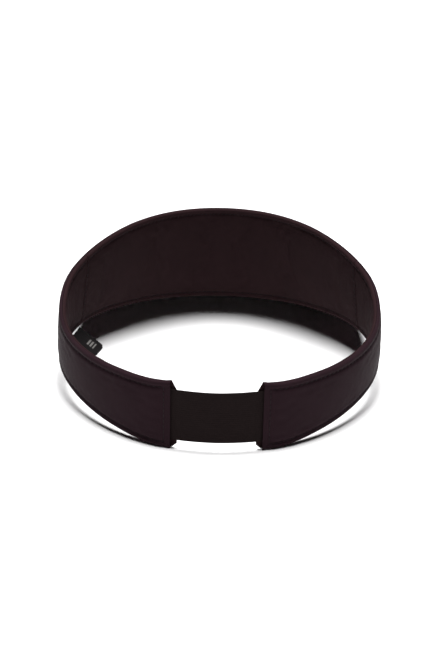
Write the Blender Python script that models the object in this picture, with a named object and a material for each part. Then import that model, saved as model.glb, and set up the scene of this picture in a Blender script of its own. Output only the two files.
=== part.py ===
"""A sun visor: a padded forehead panel with a curved brim, two padded arms and an elastic strap.

Metres, +Z up. The brim points to -Y, the elastic is at +Y and the wearer's left is +X. The visor stands
the right way up, as on a table: on the lower hems of its two arm ends and on the two low sides of its
brim. The origin is under the middle of its bounding box.

Places on the band are given by a turn, in degrees round the head opening (0 at the back, 90 at the
wearer's left, 180 at the forehead), a height above the band's lower edge, and a depth inwards from its
outer face.
"""

from math import asin, cos, degrees, hypot, pi, radians, sin

import bmesh
import bpy
from mathutils import Matrix, Vector

MM = 0.001
UP = Vector((0, 0, 1))

# The band's plan: how far its outer face is from the middle of the head opening.
BACK_REACH = 94.0 * MM
BACK_QUARTER_REACH = 89.5 * MM
SIDE_REACH = 85.6 * MM
FRONT_QUARTER_REACH = 78.4 * MM
FRONT_REACH = 81.8 * MM

# The band's lower edge: how high it is above the table.
REAR_REST_TURN = 18.0
BACK_RISE = 3.3 * MM
SIDE_RISE = 11.2 * MM
TEMPLE_RISE = 16.6 * MM
FRONT_RISE = 11.0 * MM

# The band's height, measured up its slope, and how far its top leans in over its lower edge. An arm's
# end is as high as the elastic with the two margins below.
ARM_WAIST_HEIGHT = 29.8 * MM
TEMPLE_HEIGHT = 40.3 * MM
FRONT_QUARTER_HEIGHT = 55.2 * MM
FRONT_HEIGHT = 60.0 * MM
ARM_LEAN = -1.0
SIDE_LEAN = 3.0
FRONT_QUARTER_LEAN = 11.4
FRONT_LEAN = 11.6

# The layers of the band, from its outer face inwards.
CLOTH_THICKNESS = 0.6 * MM
STIFFENER_THICKNESS = 0.6 * MM
FOAM_THICKNESS = 1.8 * MM
CLEARANCE = 0.3 * MM

# Where the front panel meets the arms, and where the arms end.
TEMPLE_TURN = 106.0
SHELL_GAP = 47.0 * MM
LINING_OVERHANG = 2.9 * MM
OVERHANG_TOP_CUT = 5.4 * MM
OVERHANG_LOWER_CUT = 2.6 * MM
FLAT_HEM = 0.1 * MM

# The elastic strap, its tails, which are sewn in between shell and lining, and how much of the arm's
# end shows below and above it.
ELASTIC_WIDTH = 28.4 * MM
LOWER_MARGIN = 4.8 * MM
UPPER_MARGIN = 5.5 * MM
ELASTIC_THICKNESS = 1.2 * MM
ELASTIC_TAIL = 11.0 * MM

# The brim.
BRIM_REACH = 65.0 * MM
BRIM_CORNER_WIDTH = 4.0 * MM
BRIM_FRONT_LIFT = 7.0 * MM
BRIM_CORNER_DROP = 0.8 * MM
BRIM_BOARD_THICKNESS = 1.6 * MM
BRIM_CLOTH_THICKNESS = 0.5 * MM
BRIM_ROUNDNESS = 2.35
BRIM_STITCH_ROWS = 4
BRIM_STITCH_START = 14.0

# Sewing thread, and how far a topstitch runs from the edge.
THREAD_WIDTH = 0.5 * MM
THREAD_THICKNESS = 0.4 * MM
STITCH_INSET = 3.4 * MM
FOAM_INSET = 4.6 * MM

# The folded label that is sewn into the lower seam behind the left temple.
LABEL_TURN = 98.5
LABEL_WIDTH = 13.5 * MM
LABEL_LENGTH = 17.0 * MM
LABEL_PLY = 0.4 * MM
LABEL_FOLD = 0.9 * MM
LABEL_DROOP = 36.0
LABEL_RISE = 1.2 * MM

FRONT_SEGMENTS = 28
ARM_SEGMENTS = 16
ELASTIC_SEGMENTS = 6
ROWS = 3

BAND_CLOTH = ((0.024, 0.0145, 0.018), 0.55)
LINING_CLOTH = ((0.021, 0.0125, 0.0145), 0.6)
ELASTIC_WEAVE = ((0.0145, 0.0105, 0.0105), 0.85)
BRIM_CLOTH = ((0.022, 0.0135, 0.0165), 0.6)
STIFFENER_WEB = ((0.75, 0.73, 0.69), 0.8)
FOAM = ((0.08, 0.08, 0.085), 0.95)
BOARD_PLASTIC = ((0.05, 0.05, 0.055), 0.45)
THREAD = ((0.017, 0.012, 0.014), 0.5)
LABEL_TAPE = ((0.012, 0.011, 0.012), 0.7)


# ---------------------------------------------------------------- sizes that follow from those above


def band_thickness():
    """Shell, foam and lining with a clearance on both sides of the foam, as the arms are made."""
    return 2 * CLOTH_THICKNESS + FOAM_THICKNESS + 2 * CLEARANCE


def elastic_depth():
    """The elastic is half-way between the shell and the lining."""
    return (band_thickness() - ELASTIC_THICKNESS) / 2


def arm_end_height():
    return LOWER_MARGIN + ELASTIC_WIDTH + UPPER_MARGIN


def brim_thickness():
    return BRIM_BOARD_THICKNESS + 2 * BRIM_CLOTH_THICKNESS + 2 * CLEARANCE


def ring_centre():
    """Where the middle of the head opening is, with the origin under the middle of the whole visor."""
    front = FRONT_REACH + CLEARANCE + BRIM_REACH
    back = BACK_REACH - elastic_depth()
    return Vector((0, (front - back) / 2, 0))


def turn_near_back(distance):
    """The turn at that distance to the left of the back's middle."""
    return degrees(asin(distance / BACK_REACH))


def turn_along(turn, distance):
    """The turn at that distance along the band from another turn."""
    return turn + degrees(distance / reach(turn))


# ---------------------------------------------------------------- the band's shape


def smooth_through(stations, place):
    """A smooth curve through (place, value) stations, level at both ends and where the values turn back."""
    places = [station[0] for station in stations]
    values = [station[1] for station in stations]
    slopes = [0.0] * len(stations)
    for i in range(1, len(stations) - 1):
        before = (values[i] - values[i - 1]) / (places[i] - places[i - 1])
        after = (values[i + 1] - values[i]) / (places[i + 1] - places[i])
        if before * after > 0:
            slopes[i] = (values[i + 1] - values[i - 1]) / (places[i + 1] - places[i - 1])
    if place <= places[0]:
        return values[0]
    if place >= places[-1]:
        return values[-1]
    i = max(k for k in range(len(places) - 1) if places[k] <= place)
    run = places[i + 1] - places[i]
    u = (place - places[i]) / run
    start = (2 * u**3 - 3 * u**2 + 1) * values[i] + (u**3 - 2 * u**2 + u) * run * slopes[i]
    end = (3 * u**2 - 2 * u**3) * values[i + 1] + (u**3 - u**2) * run * slopes[i + 1]
    return start + end


def from_back(turn):
    """The turn on the left side that matches this one, from 0 at the back to 180 at the forehead."""
    return 180 - abs(180 - turn % 360)


def reach(turn):
    stations = (
        (0, BACK_REACH),
        (45, BACK_QUARTER_REACH),
        (90, SIDE_REACH),
        (135, FRONT_QUARTER_REACH),
        (180, FRONT_REACH),
    )
    return smooth_through(stations, from_back(turn))


def lower_edge(turn):
    stations = (
        (REAR_REST_TURN, 0.0),
        (35, BACK_RISE),
        (70, SIDE_RISE),
        (112, TEMPLE_RISE),
        (180, FRONT_RISE),
    )
    return smooth_through(stations, from_back(turn))


def band_height(turn):
    stations = (
        (0, arm_end_height()),
        (65, ARM_WAIST_HEIGHT),
        (100, TEMPLE_HEIGHT),
        (135, FRONT_QUARTER_HEIGHT),
        (180, FRONT_HEIGHT),
    )
    return smooth_through(stations, from_back(turn))


def lean(turn):
    stations = ((60, ARM_LEAN), (90, SIDE_LEAN), (130, FRONT_QUARTER_LEAN), (180, FRONT_LEAN))
    return radians(smooth_through(stations, from_back(turn)))


def plan_point(turn):
    return Vector((sin(radians(turn)), cos(radians(turn)), 0)) * reach(turn)


def along(turn):
    """The level direction in which the band runs, towards larger turns."""
    step = 0.5
    return (plan_point(turn + step) - plan_point(turn - step)).normalized()


def outward(turn):
    ahead = along(turn)
    return Vector((-ahead.y, ahead.x, 0))


def band_point(turn, height, depth):
    inwards = depth + height * sin(lean(turn))
    rise = lower_edge(turn) + height * cos(lean(turn))
    return ring_centre() + plan_point(turn) - outward(turn) * inwards + UP * rise


# ---------------------------------------------------------------- making objects


def material(name, finish):
    colour, roughness = finish
    made = bpy.data.materials.new(name)
    made.use_nodes = True
    shader = made.node_tree.nodes["Principled BSDF"]
    shader.inputs["Base Color"].default_value = (*colour, 1)
    shader.inputs["Roughness"].default_value = roughness
    shader.inputs["Metallic"].default_value = 0
    made.diffuse_color = (*colour, 1)
    return made


def pivot(name, place):
    """An empty on a joint's axis, which carries the pieces that turn about it."""
    empty = bpy.data.objects.new(name, None)
    empty.location = place
    empty.empty_display_size = 10 * MM
    bpy.context.scene.collection.objects.link(empty)
    return empty


def bridge(shape, a, b, c, d):
    """Two triangles over a four-cornered patch, split the short way, so that stacked layers match."""
    if (a.co - c.co).length < (b.co - d.co).length:
        shape.faces.new((a, b, c))
        shape.faces.new((a, c, d))
    else:
        shape.faces.new((a, b, d))
        shape.faces.new((b, c, d))


def loft(name, sections, finish, parent=None):
    """A closed solid through matching cross-sections, each a list of points, with flat ends."""
    shape = bmesh.new()
    rings = [[shape.verts.new(point) for point in section] for section in sections]
    for ring, following in zip(rings, rings[1:]):
        for i in range(len(ring)):
            j = (i + 1) % len(ring)
            bridge(shape, ring[i], ring[j], following[j], following[i])
    shape.faces.new(rings[0])
    shape.faces.new(rings[-1])
    bmesh.ops.recalc_face_normals(shape, faces=shape.faces)
    mesh = bpy.data.meshes.new(name)
    shape.to_mesh(mesh)
    shape.free()
    mesh.shade_smooth()
    mesh.set_sharp_from_angle(angle=radians(40))
    mesh.materials.append(material(name, finish))
    piece = bpy.data.objects.new(name, mesh)
    bpy.context.scene.collection.objects.link(piece)
    if parent:
        mesh.transform(Matrix.Translation(-parent.location))
        piece.parent = parent
    return piece


def steps(first, last, count):
    return [first + (last - first) * i / count for i in range(count + 1)]


# ---------------------------------------------------------------- cross-sections of the band


def plain_section(turn, near, far, low, high):
    """A layer between two depths and two heights."""
    outer = [band_point(turn, height, near) for height in steps(low, high, ROWS)]
    inner = [band_point(turn, height, far) for height in steps(high, low, ROWS)]
    return outer + inner


def hemmed_section(turn, face, back, lip, low, high):
    """A cloth whose two edges turn in from its face, past its back, to the depth of the lip."""
    hem = CLOTH_THICKNESS
    outline = [(face, height) for height in steps(low, high, ROWS)]
    outline += [(lip, high), (lip, high - hem)]
    outline += [(back, height) for height in steps(high - hem, low + hem, ROWS)]
    outline += [(lip, low + hem), (lip, low)]
    return [band_point(turn, height, depth) for depth, height in outline]


def shell_section(turn):
    lip = (band_thickness() - CLEARANCE) / 2
    return hemmed_section(turn, 0, CLOTH_THICKNESS, lip, 0, band_height(turn))


def lining_section(turn):
    thickness = band_thickness()
    lip = (thickness + CLEARANCE) / 2
    return hemmed_section(turn, thickness, thickness - CLOTH_THICKNESS, lip, 0, band_height(turn))


def lining_tip_section(turn):
    """The end of an arm's lining, past the shell: its corners are cut and its hems are pressed flat."""
    thickness = band_thickness()
    back = thickness - CLOTH_THICKNESS
    high = band_height(turn) - OVERHANG_TOP_CUT
    return hemmed_section(turn, thickness, back, back - FLAT_HEM, OVERHANG_LOWER_CUT, high)


def filling_section(turn, near, thickness):
    """Foam or stiffener, which stops inside the topstitching."""
    return plain_section(turn, near, near + thickness, FOAM_INSET, band_height(turn) - FOAM_INSET)


# ---------------------------------------------------------------- sewing thread


def thread(name, points, normals, parent=None):
    """A row of stitching as one strip, a clearance above the surface, with mitred corners."""
    sections = []
    for i, (point, normal) in enumerate(zip(points, normals)):
        before = (point - points[i - 1]).normalized() if i else None
        after = (points[i + 1] - point).normalized() if i + 1 < len(points) else None
        ahead = ((before or after) + (after or before)).normalized()
        mitre = 1 / ahead.dot(after or before)
        side = normal.cross(ahead).normalized() * (THREAD_WIDTH / 2 * mitre)
        under = point + normal * CLEARANCE
        over = under + normal * THREAD_THICKNESS
        sections.append([under - side, under + side, over + side, over - side])
    return loft(name, sections, THREAD, parent)


def outer_thread(name, route, parent):
    points = [band_point(turn, height, 0) for turn, height in route]
    return thread(name, points, [outward(turn) for turn, _ in route], parent)


def inner_thread(name, route):
    points = [band_point(turn, height, band_thickness()) for turn, height in route]
    return thread(name, points, [-outward(turn) for turn, _ in route])


# ---------------------------------------------------------------- front panel


def front_turns():
    half_gap = CLEARANCE / 2
    first = turn_along(TEMPLE_TURN, half_gap)
    return steps(first, 360 - first, FRONT_SEGMENTS)


def make_front():
    turns = front_turns()
    stiffener = CLOTH_THICKNESS + CLEARANCE
    foam = stiffener + STIFFENER_THICKNESS + CLEARANCE
    foam_thickness = band_thickness() - CLOTH_THICKNESS - CLEARANCE - foam
    loft("front_shell", [shell_section(turn) for turn in turns], BAND_CLOTH)
    loft(
        "front_stiffener",
        [filling_section(turn, stiffener, STIFFENER_THICKNESS) for turn in turns],
        STIFFENER_WEB,
    )
    loft("front_foam", [filling_section(turn, foam, foam_thickness) for turn in turns], FOAM)
    loft("front_lining", [lining_section(turn) for turn in turns], LINING_CLOTH)


def make_front_stitching():
    first = turn_along(TEMPLE_TURN, STITCH_INSET / 2)
    turns = steps(first, 360 - first, FRONT_SEGMENTS)
    inner_thread("front_top_stitch", [(turn, band_height(turn) - STITCH_INSET) for turn in turns])
    inner_thread("front_lower_stitch", [(turn, STITCH_INSET) for turn in turns])
    for side, turn in (("left", first), ("right", 360 - first)):
        low = STITCH_INSET + 2 * THREAD_WIDTH
        high = band_height(turn) - low
        route = [(turn, height) for height in steps(low, high, ROWS)]
        inner_thread(side + "_temple_stitch", route)


# ---------------------------------------------------------------- arms


def hinge_place(side):
    """On the outer face, where the arm's seam with the front panel is widest: at its lower edge."""
    place = band_point(TEMPLE_TURN, 0, 0)
    return Vector((side * place.x, place.y, place.z + TEMPLE_HEIGHT / 2))


def arm_turns(start):
    """Turns from an arm's end to the temple, with one where the flat rest of its lower hem stops."""
    last = turn_along(TEMPLE_TURN, -CLEARANCE / 2)
    return [start] + steps(REAR_REST_TURN, last, ARM_SEGMENTS)


def make_arm(name, side, parent):
    """One arm. side is 1 on the wearer's left and -1 on the right."""
    end = turn_near_back(SHELL_GAP / 2)
    overhang_end = turn_near_back(SHELL_GAP / 2 - LINING_OVERHANG)
    foam_start = turn_near_back(SHELL_GAP / 2 + ELASTIC_TAIL + 2 * CLEARANCE)
    foam_near = CLOTH_THICKNESS + CLEARANCE
    last = arm_turns(end)[-1]

    shell = [shell_section(side * turn) for turn in arm_turns(end)]
    loft(name + "_shell", shell, BAND_CLOTH, parent)

    lining = [lining_tip_section(side * overhang_end)]
    lining += [lining_section(side * turn) for turn in arm_turns(end)]
    loft(name + "_lining", lining, LINING_CLOTH, parent)

    foam_turns = steps(foam_start, last, ARM_SEGMENTS)
    foam = [filling_section(side * turn, foam_near, FOAM_THICKNESS) for turn in foam_turns]
    loft(name + "_foam", foam, FOAM, parent)
    make_arm_stitching(name, side, parent, end, last)


def make_arm_stitching(name, side, parent, end, last):
    """One run of thread: along the top, down the arm's end and back along the lower edge."""
    first = turn_along(end, STITCH_INSET)
    front = turn_along(last, -STITCH_INSET)
    between = [turn for turn in arm_turns(end) if first < turn < front]
    turns = [first] + between + [front]
    upper = [(side * turn, band_height(turn) - STITCH_INSET) for turn in reversed(turns)]
    lower = [(side * turn, STITCH_INSET) for turn in turns]
    down = steps(upper[-1][1], STITCH_INSET, ROWS)[1:-1]
    outer_thread(name + "_stitch", upper + [(side * first, height) for height in down] + lower, parent)


# ---------------------------------------------------------------- elastic


def elastic_section(turn):
    near = elastic_depth()
    high = LOWER_MARGIN + ELASTIC_WIDTH
    return plain_section(turn, near, near + ELASTIC_THICKNESS, LOWER_MARGIN, high)


def make_elastic_half(name, side, parent):
    """Half of the strap, from the back's middle to the end of its sewn-in tail."""
    first = turn_near_back(CLEARANCE / 2)
    last = turn_near_back(SHELL_GAP / 2 + ELASTIC_TAIL)
    turns = steps(first, last, ELASTIC_SEGMENTS)
    loft(name, [elastic_section(side * turn) for turn in turns], ELASTIC_WEAVE, parent)


def strap_place():
    """The left end of the visible strap, where it turns against the arm."""
    return band_point(turn_near_back(SHELL_GAP / 2), arm_end_height() / 2, elastic_depth())


# ---------------------------------------------------------------- brim


def brim_edge(turn):
    """The outer edge of the brim's underside, opposite that turn of the band."""
    root = band_point(TEMPLE_TURN, 0, -CLEARANCE)
    swing = (from_back(turn) - TEMPLE_TURN) / (180 - TEMPLE_TURN) * pi / 2
    swing = min(max(swing, 0), pi / 2)
    power = 2 / BRIM_ROUNDNESS
    half_width = root.x + BRIM_CORNER_WIDTH
    front = ring_centre().y - FRONT_REACH - CLEARANCE - BRIM_REACH
    corner_rise = lower_edge(TEMPLE_TURN) - BRIM_CORNER_DROP
    rises = ((0, corner_rise), (pi / 4, 0.0), (pi / 2, BRIM_FRONT_LIFT))
    x = half_width * cos(swing) ** power
    y = root.y + (front - root.y) * sin(swing) ** power
    # Turns past the forehead are on the wearer's right.
    return Vector((x if turn <= 180 else -x, y, smooth_through(rises, swing)))


def brim_point(turn, distance, rise):
    """A point that far out from the front panel and that high above the brim's underside."""
    root = band_point(turn, 0, -CLEARANCE)
    edge = brim_edge(turn)
    return root.lerp(edge, distance / brim_width(turn)) + UP * rise


def brim_width(turn):
    way = brim_edge(turn) - band_point(turn, 0, -CLEARANCE)
    return hypot(way.x, way.y)


def brim_distances(turn, inset):
    """Distances out from the front panel, the same for every layer up to the last, which is inset."""
    width = brim_width(turn)
    return steps(0, width, ROWS)[:-1] + [width - inset]


def brim_cloth_section(turn, face, back, lip):
    """A brim cloth, whose outer edge turns over the board's edge to the lip."""
    outside = brim_distances(turn, 0)
    inside = brim_distances(turn, BRIM_CLOTH_THICKNESS)
    outline = [(distance, face) for distance in outside]
    outline += [(outside[-1], lip), (inside[-1], lip)]
    outline += [(distance, back) for distance in reversed(inside)]
    return [brim_point(turn, distance, rise) for distance, rise in outline]


def brim_board_section(turn):
    distances = brim_distances(turn, BRIM_CLOTH_THICKNESS + CLEARANCE)
    low = BRIM_CLOTH_THICKNESS + CLEARANCE
    high = low + BRIM_BOARD_THICKNESS
    under = [brim_point(turn, distance, low) for distance in distances]
    over = [brim_point(turn, distance, high) for distance in reversed(distances)]
    return under + over


def make_brim():
    turns = front_turns()
    thickness = brim_thickness()
    cloth = BRIM_CLOTH_THICKNESS
    low_lip = (thickness - CLEARANCE) / 2
    high_lip = (thickness + CLEARANCE) / 2
    under = [brim_cloth_section(turn, 0, cloth, low_lip) for turn in turns]
    top = [brim_cloth_section(turn, thickness, thickness - cloth, high_lip) for turn in turns]
    loft("brim_under_cloth", under, BRIM_CLOTH)
    loft("brim_board", [brim_board_section(turn) for turn in turns], BOARD_PLASTIC)
    loft("brim_top_cloth", top, BRIM_CLOTH)


def make_brim_stitching():
    """Rows of stitching on the brim, evenly spaced between the front panel and the outer edge."""
    first = TEMPLE_TURN + BRIM_STITCH_START
    turns = steps(first, 360 - first, FRONT_SEGMENTS)
    for row in range(BRIM_STITCH_ROWS):
        share = (row + 1) / (BRIM_STITCH_ROWS + 0.5)
        points = [brim_point(turn, share * brim_width(turn), brim_thickness()) for turn in turns]
        thread(f"brim_stitch_{row + 1}", points, [UP] * len(points))


# ---------------------------------------------------------------- label


def label_corner(side):
    """Where one corner of the label comes out of the lower seam, a clearance clear of the lining."""
    turn = turn_along(LABEL_TURN, side * LABEL_WIDTH / 2)
    return band_point(turn, LABEL_RISE, band_thickness() + CLEARANCE + LABEL_FOLD / 2)


def label_place():
    """The middle of the line about which the label turns."""
    return (label_corner(-1) + label_corner(1)) / 2


def make_label(parent):
    """A tape folded in half: two plies joined by the fold at the free end."""
    ahead = label_corner(1) - label_corner(-1)
    ahead = Vector((ahead.x, ahead.y, 0)).normalized()
    inwards = ahead.cross(UP)
    out = inwards * cos(radians(LABEL_DROOP)) - UP * sin(radians(LABEL_DROOP))
    over = UP * cos(radians(LABEL_DROOP)) + inwards * sin(radians(LABEL_DROOP))
    half = LABEL_FOLD / 2
    inside = half - LABEL_PLY
    outline = [(0, half), (0, inside), (LABEL_LENGTH - half, inside)]
    outline += [(LABEL_LENGTH - half, -inside), (0, -inside), (0, -half)]
    for angle in steps(-90, 90, 6):
        outline.append(
            (LABEL_LENGTH - half + half * cos(radians(angle)), half * sin(radians(angle)))
        )
    sections = []
    for side in (-1, 1):
        edge = label_place() + ahead * (side * LABEL_WIDTH / 2)
        sections.append([edge + out * x + over * y for x, y in outline])
    loft("side_label", sections, LABEL_TAPE, parent)


# ---------------------------------------------------------------- the whole visor


def clear_scene():
    for item in list(bpy.data.objects):
        bpy.data.objects.remove(item, do_unlink=True)


def main():
    clear_scene()
    make_front()
    make_front_stitching()
    make_brim()
    make_brim_stitching()
    make_arm("left_arm", 1, pivot("left_arm_flex", hinge_place(1)))
    make_arm("right_arm", -1, pivot("right_arm_flex", hinge_place(-1)))
    strap = pivot("strap_turn", strap_place())
    make_elastic_half("elastic_left_half", 1, strap)
    make_elastic_half("elastic_right_half", -1, strap)
    make_label(pivot("label_flex", label_place()))


main()
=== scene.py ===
# %% [markdown]
# # A sun visor in cloth, foam and thread
# The working model of this visor is plain: closed solids of the right size, joined by joints. This file
# sews the visible visor round that model. Every step below makes one real piece the way a cap maker would
# think of it: which layer lies on which, where the thread pulls the layers together, and where the padding
# pushes them apart.

# %% Load the working model
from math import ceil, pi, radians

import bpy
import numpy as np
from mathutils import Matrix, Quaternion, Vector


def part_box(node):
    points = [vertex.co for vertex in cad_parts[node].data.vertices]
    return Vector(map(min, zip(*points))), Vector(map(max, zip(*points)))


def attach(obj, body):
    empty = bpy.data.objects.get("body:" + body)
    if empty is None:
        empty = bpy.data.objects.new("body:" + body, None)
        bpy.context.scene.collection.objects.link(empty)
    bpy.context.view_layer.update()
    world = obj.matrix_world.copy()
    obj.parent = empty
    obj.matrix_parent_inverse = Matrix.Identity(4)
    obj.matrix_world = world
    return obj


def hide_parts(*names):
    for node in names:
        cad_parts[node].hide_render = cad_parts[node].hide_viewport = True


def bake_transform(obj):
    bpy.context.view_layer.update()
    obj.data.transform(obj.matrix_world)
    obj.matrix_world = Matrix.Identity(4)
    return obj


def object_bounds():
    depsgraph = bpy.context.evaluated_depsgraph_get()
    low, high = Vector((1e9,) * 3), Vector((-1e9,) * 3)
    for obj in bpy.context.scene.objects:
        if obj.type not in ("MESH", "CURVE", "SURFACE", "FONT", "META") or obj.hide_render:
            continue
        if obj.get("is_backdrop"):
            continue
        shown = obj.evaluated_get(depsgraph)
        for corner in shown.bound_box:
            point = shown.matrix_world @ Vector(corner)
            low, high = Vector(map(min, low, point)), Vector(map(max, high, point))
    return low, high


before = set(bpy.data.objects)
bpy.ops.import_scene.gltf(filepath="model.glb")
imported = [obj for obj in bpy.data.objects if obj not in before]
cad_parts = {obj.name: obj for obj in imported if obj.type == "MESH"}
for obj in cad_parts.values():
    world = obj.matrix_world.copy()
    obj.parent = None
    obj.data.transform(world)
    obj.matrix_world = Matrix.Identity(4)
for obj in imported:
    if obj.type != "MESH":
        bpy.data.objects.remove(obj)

# %% [markdown]
# ## Tools and units
# Blender works in metres, and a cap maker works in millimetres, so sizes are written as a number times MM.
# Points are kept in numpy arrays, because a cloth has tens of thousands of them and numpy moves them all
# with one line. The box round the working model is kept for the very end, where it is printed beside the
# box of the finished visor.

MM = 0.001
cad_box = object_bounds()
print("size of the working model:", [round(side / MM, 1) for side in cad_box[1] - cad_box[0]], "mm")

# %% [markdown]
# ## The shape of the band
# The band runs round the head. A place on it is given by a turn (0 degrees at the back of the head, 90 at
# the wearer's left, 180 at the forehead), a height above its lower edge, and a depth inwards from its outer
# face. Four short lists of stations say how far out, how high off the table, how tall and how tilted the
# band is. A smooth curve through the stations fills in the rest. A spline object could hold the same curve,
# but a formula can be asked for any place, and every layer and every stitch below asks it.

# %% Stations of the band, in millimetres and degrees
REACH = ((0, 94.0), (45, 89.5), (90, 85.6), (135, 78.4), (180, 81.8))
LOWER_EDGE = ((18, 0.0), (35, 3.3), (70, 11.2), (112, 16.6), (180, 11.0))
HEIGHT = ((0, 38.7), (65, 29.8), (100, 40.3), (135, 55.2), (180, 60.0))
LEAN = ((60, -1.0), (90, 3.0), (130, 11.4), (180, 11.6))


def curve_through(stations, place):
    """Smooth values through (place, value) stations, level at both ends and where the values turn back."""
    places, values = np.array(stations, float).T
    rises = np.diff(values) / np.diff(places)
    slopes = np.zeros(len(places))
    across = (values[2:] - values[:-2]) / (places[2:] - places[:-2])
    slopes[1:-1] = np.where(rises[:-1] * rises[1:] > 0, across, 0)
    place = np.clip(place, places[0], places[-1])
    i = np.clip(np.searchsorted(places, place, side="right") - 1, 0, len(places) - 2)
    run = places[i + 1] - places[i]
    u = (place - places[i]) / run
    start = (2 * u**3 - 3 * u**2 + 1) * values[i] + (u**3 - 2 * u**2 + u) * run * slopes[i]
    end = (3 * u**2 - 2 * u**3) * values[i + 1] + (u**3 - u**2) * run * slopes[i + 1]
    return start + end


def from_back(turn):
    return 180 - np.abs(180 - turn % 360)


def unit(vectors):
    return vectors / np.maximum(np.linalg.norm(vectors, axis=-1, keepdims=True), 1e-12)


def band_height(turn):
    return curve_through(HEIGHT, from_back(turn)) * MM


def plan(turn):
    """The outer face's place round the middle of the head opening, seen from above."""
    out = curve_through(REACH, from_back(turn)) * MM
    angle = np.radians(turn)
    return np.stack([np.sin(angle) * out, np.cos(angle) * out, 0 * out], -1)


def outward(turn):
    ahead = unit(plan(turn + 0.5) - plan(turn - 0.5))
    return np.stack([-ahead[..., 1], ahead[..., 0], 0 * ahead[..., 0]], -1)


forehead = curve_through(REACH, 180.0) * MM
RING_CENTRE = np.array([0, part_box("front_shell")[0].y + forehead, 0])
UP = np.array([0, 0, 1.0])


def band(turn, height, depth):
    """Points on or in the band. The three arguments are arrays of one shape, in degrees and metres."""
    lean = np.radians(curve_through(LEAN, from_back(turn)))
    inwards = depth + height * np.sin(lean)
    rise = curve_through(LOWER_EDGE, from_back(turn)) * MM + height * np.cos(lean)
    return RING_CENTRE + plan(turn) - outward(turn) * inwards[..., None] + UP * rise[..., None]


corner = band(np.array([180.0]), band_height(np.array([180.0])), np.array([0.0]))[0]
print("top of the forehead:", round(corner[2] / MM, 2), "mm, in the working model:",
      round(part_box("front_shell")[1].z / MM, 2), "mm")

# %% [markdown]
# ## Measuring along the band
# Cloth is cut, stitched and woven in lengths, not in degrees. A table of the length walked round the band,
# starting at the middle of the back, turns one into the other. From here on, a place along the band is a
# length in metres.

# %% A tape measure along the band
turns = np.linspace(0, 360, 3601)
walked = np.concatenate([[0], np.cumsum(np.linalg.norm(np.diff(plan(turns), axis=0), axis=1))])


def turn_at(length):
    return np.interp(length, walked, turns)


def length_at(turn):
    return np.interp(turn, turns, walked)


TEMPLE_TURN = 106.0
TEMPLE = length_at(TEMPLE_TURN)
SHELL_GAP = 47.0 * MM
OVERHANG = 2.9 * MM
ARM_END = length_at(np.degrees(np.arcsin(SHELL_GAP / 2 / (curve_through(REACH, 0.0) * MM))))
BAND_THICKNESS = 3.6 * MM
print("round the band:", round(walked[-1] / MM), "mm, one arm:", round((TEMPLE - ARM_END) / MM), "mm")

# %% [markdown]
# ## Chance that repeats
# Real cloth is never even: it has slack, old folds and small differences in how hard each stitch was
# pulled. Noise adds that. It is made here from a grid of random heights with a fixed seed, smoothed between
# the grid points, so that the file gives the same visor every time it runs.

# %% Smooth noise
def ease(share):
    """A smooth step from 0 to 1."""
    share = np.clip(share, 0, 1)
    return share * share * (3 - 2 * share)


def noise(x, y, seed):
    """Smooth random heights from -1 to 1, one hill or hollow for each unit of x and y."""
    size = 256
    heights = np.random.default_rng(seed).uniform(-1, 1, (size, size))
    left, low = np.floor(x).astype(int), np.floor(y).astype(int)
    u, v = ease(x - left), ease(y - low)

    def at(i, j):
        return heights[(left + i) % size, (low + j) % size]

    return (at(0, 0) * (1 - u) + at(1, 0) * u) * (1 - v) + (at(0, 1) * (1 - u) + at(1, 1) * u) * v


# %% [markdown]
# ## Turning arrays into meshes
# Most pieces here are grids: columns along the piece and rows across it. One helper joins neighbouring
# grid points into four-sided faces and stores two sets of UV coordinates in metres. The first says where
# on the cloth a point is, so that a weave gets its true scale. The second says how far it is from the
# nearest edge, which is where cloth wears.

# %% Mesh helpers
def grid_faces(columns, rows, first=0):
    """Faces of a grid whose point (i, j) has the number first + i * rows + j."""
    i, j = np.meshgrid(np.arange(columns - 1), np.arange(rows - 1), indexing="ij")
    a = first + i * rows + j
    return np.stack([a, a + rows, a + rows + 1, a + 1], -1).reshape(-1, 4)


def grid_normals(points):
    return unit(np.cross(np.gradient(points, axis=0), np.gradient(points, axis=1)))


def make_mesh(name, points, faces, cloth_uv=None, edge_uv=None):
    mesh = bpy.data.meshes.new(name)
    mesh.from_pydata(points.tolist(), [], [list(face) for face in faces])
    corners = np.empty(len(mesh.loops), np.int32)
    mesh.loops.foreach_get("vertex_index", corners)
    for layer, uv in (("cloth", cloth_uv), ("edge", edge_uv)):
        if uv is not None:
            made = mesh.uv_layers.new(name=layer)
            made.data.foreach_set("uv", uv[corners].astype(np.float32).ravel())
    mesh.shade_smooth()
    piece = bpy.data.objects.new(name, mesh)
    bpy.context.scene.collection.objects.link(piece)
    return piece


def rim_faces(columns, rows):
    """Faces that close the gap between two grids of the same size, numbered one after the other."""
    around = [i * rows for i in range(columns)]
    around += [(columns - 1) * rows + j for j in range(1, rows)]
    around += [i * rows + rows - 1 for i in reversed(range(columns - 1))]
    around += [j for j in reversed(range(1, rows - 1))]
    following = around[1:] + around[:1]
    back = columns * rows
    return [(b, a, a + back, b + back) for a, b in zip(around, following)]


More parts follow.
